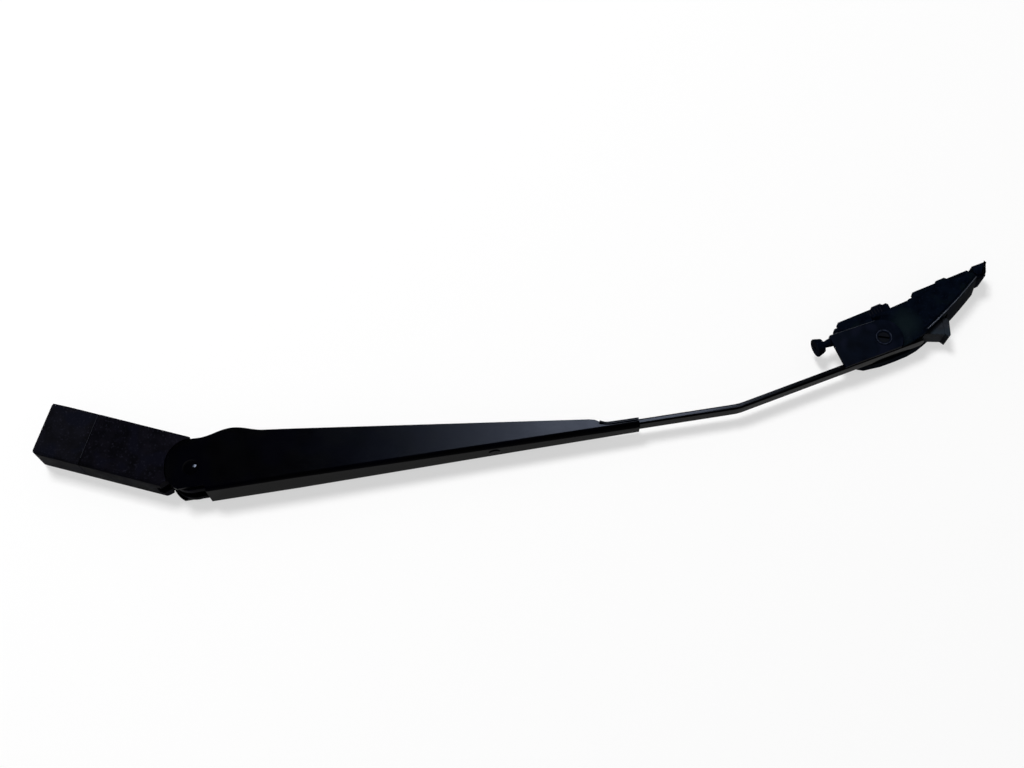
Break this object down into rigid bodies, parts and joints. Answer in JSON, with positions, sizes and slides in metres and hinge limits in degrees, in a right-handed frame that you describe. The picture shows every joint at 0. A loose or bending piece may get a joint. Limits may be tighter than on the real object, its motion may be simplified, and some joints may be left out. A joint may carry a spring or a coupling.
{
  "type": "windscreen wiper arm",
  "caption": "Sprung folding wiper arm with a cast head, pressed channel, bent flat rod and a moulded side-pin blade connector.",
  "frame": {"origin": "spindle axis at the glass-side face of the head", "axes": "+Z along the spindle away from the glass, +X along the head towards the blade"},
  "size_m": [0.4465, 0.021, 0.2282],
  "materials": {
    "cast": "powder-coated casting",
    "paint": "satin black paint",
    "plastic": "moulded, semi-matte",
    "bush": "moulded bearing plastic",
    "steel": "zinc-plated steel",
    "pin": "blackened steel"
  },
  "bodies": {
    "base": {"head": "cast", "bush_near": "bush", "bush_far": "bush", "hook_pin": "steel"},
    "cap": {"nut_cap": "plastic"},
    "arm": {"channel": "paint", "hinge_pin": "paint", "rod": "paint", "rod_rivet": "paint", "side_plate": "paint", "pivot_pin": "pin", "pivot_washer": "steel"},
    "link": {"spring_link": "steel"},
    "coil": {"spring": "steel"},
    "connector": {"connector_body": "plastic", "blade_seat": "plastic", "hose_nipple": "plastic", "tip_cap": "plastic", "lever_pin": "steel"},
    "lever": {"release_lever": "plastic"}
  },
  "joints": [
    {"name": "arm_fold", "type": "hinge", "parent": "base", "child": "arm", "pos_m": [0.065, 0, 0.015], "axis": [0, -1, 0], "range_deg": [0, 80]},
    {"name": "cap_pull", "type": "slide", "parent": "base", "child": "cap", "axis": [0, 0, 1], "range_m": [0, 0.035]},
    {"name": "link_swing", "type": "hinge", "parent": "base", "child": "link", "pos_m": [0.05735, 0, 0.0138], "axis": [0, -1, 0], "range_deg": [0, 75.4]},
    {"name": "spring_swing", "type": "hinge", "parent": "arm", "child": "coil", "pos_m": [0.16938, 0, -0.02675], "axis": [0, 1, 0], "range_deg": [0, 4.6], "deforming": ["spring"]},
    {"name": "blade_tip", "type": "hinge", "parent": "arm", "child": "connector", "pos_m": [0.38493, 0, -0.14276], "axis": [0, -1, 0], "range_deg": [-10, 10]},
    {"name": "release", "type": "hinge", "parent": "connector", "child": "lever", "pos_m": [0.41238, 0, -0.16394], "axis": [0, 1, 0], "range_deg": [0, 8]}
  ],
  "couplings": [
    {"joint": "link_swing", "follows": "arm_fold", "ratio": 0.9425},
    {"joint": "spring_swing", "follows": "arm_fold", "ratio": 0.0575}
  ]
}
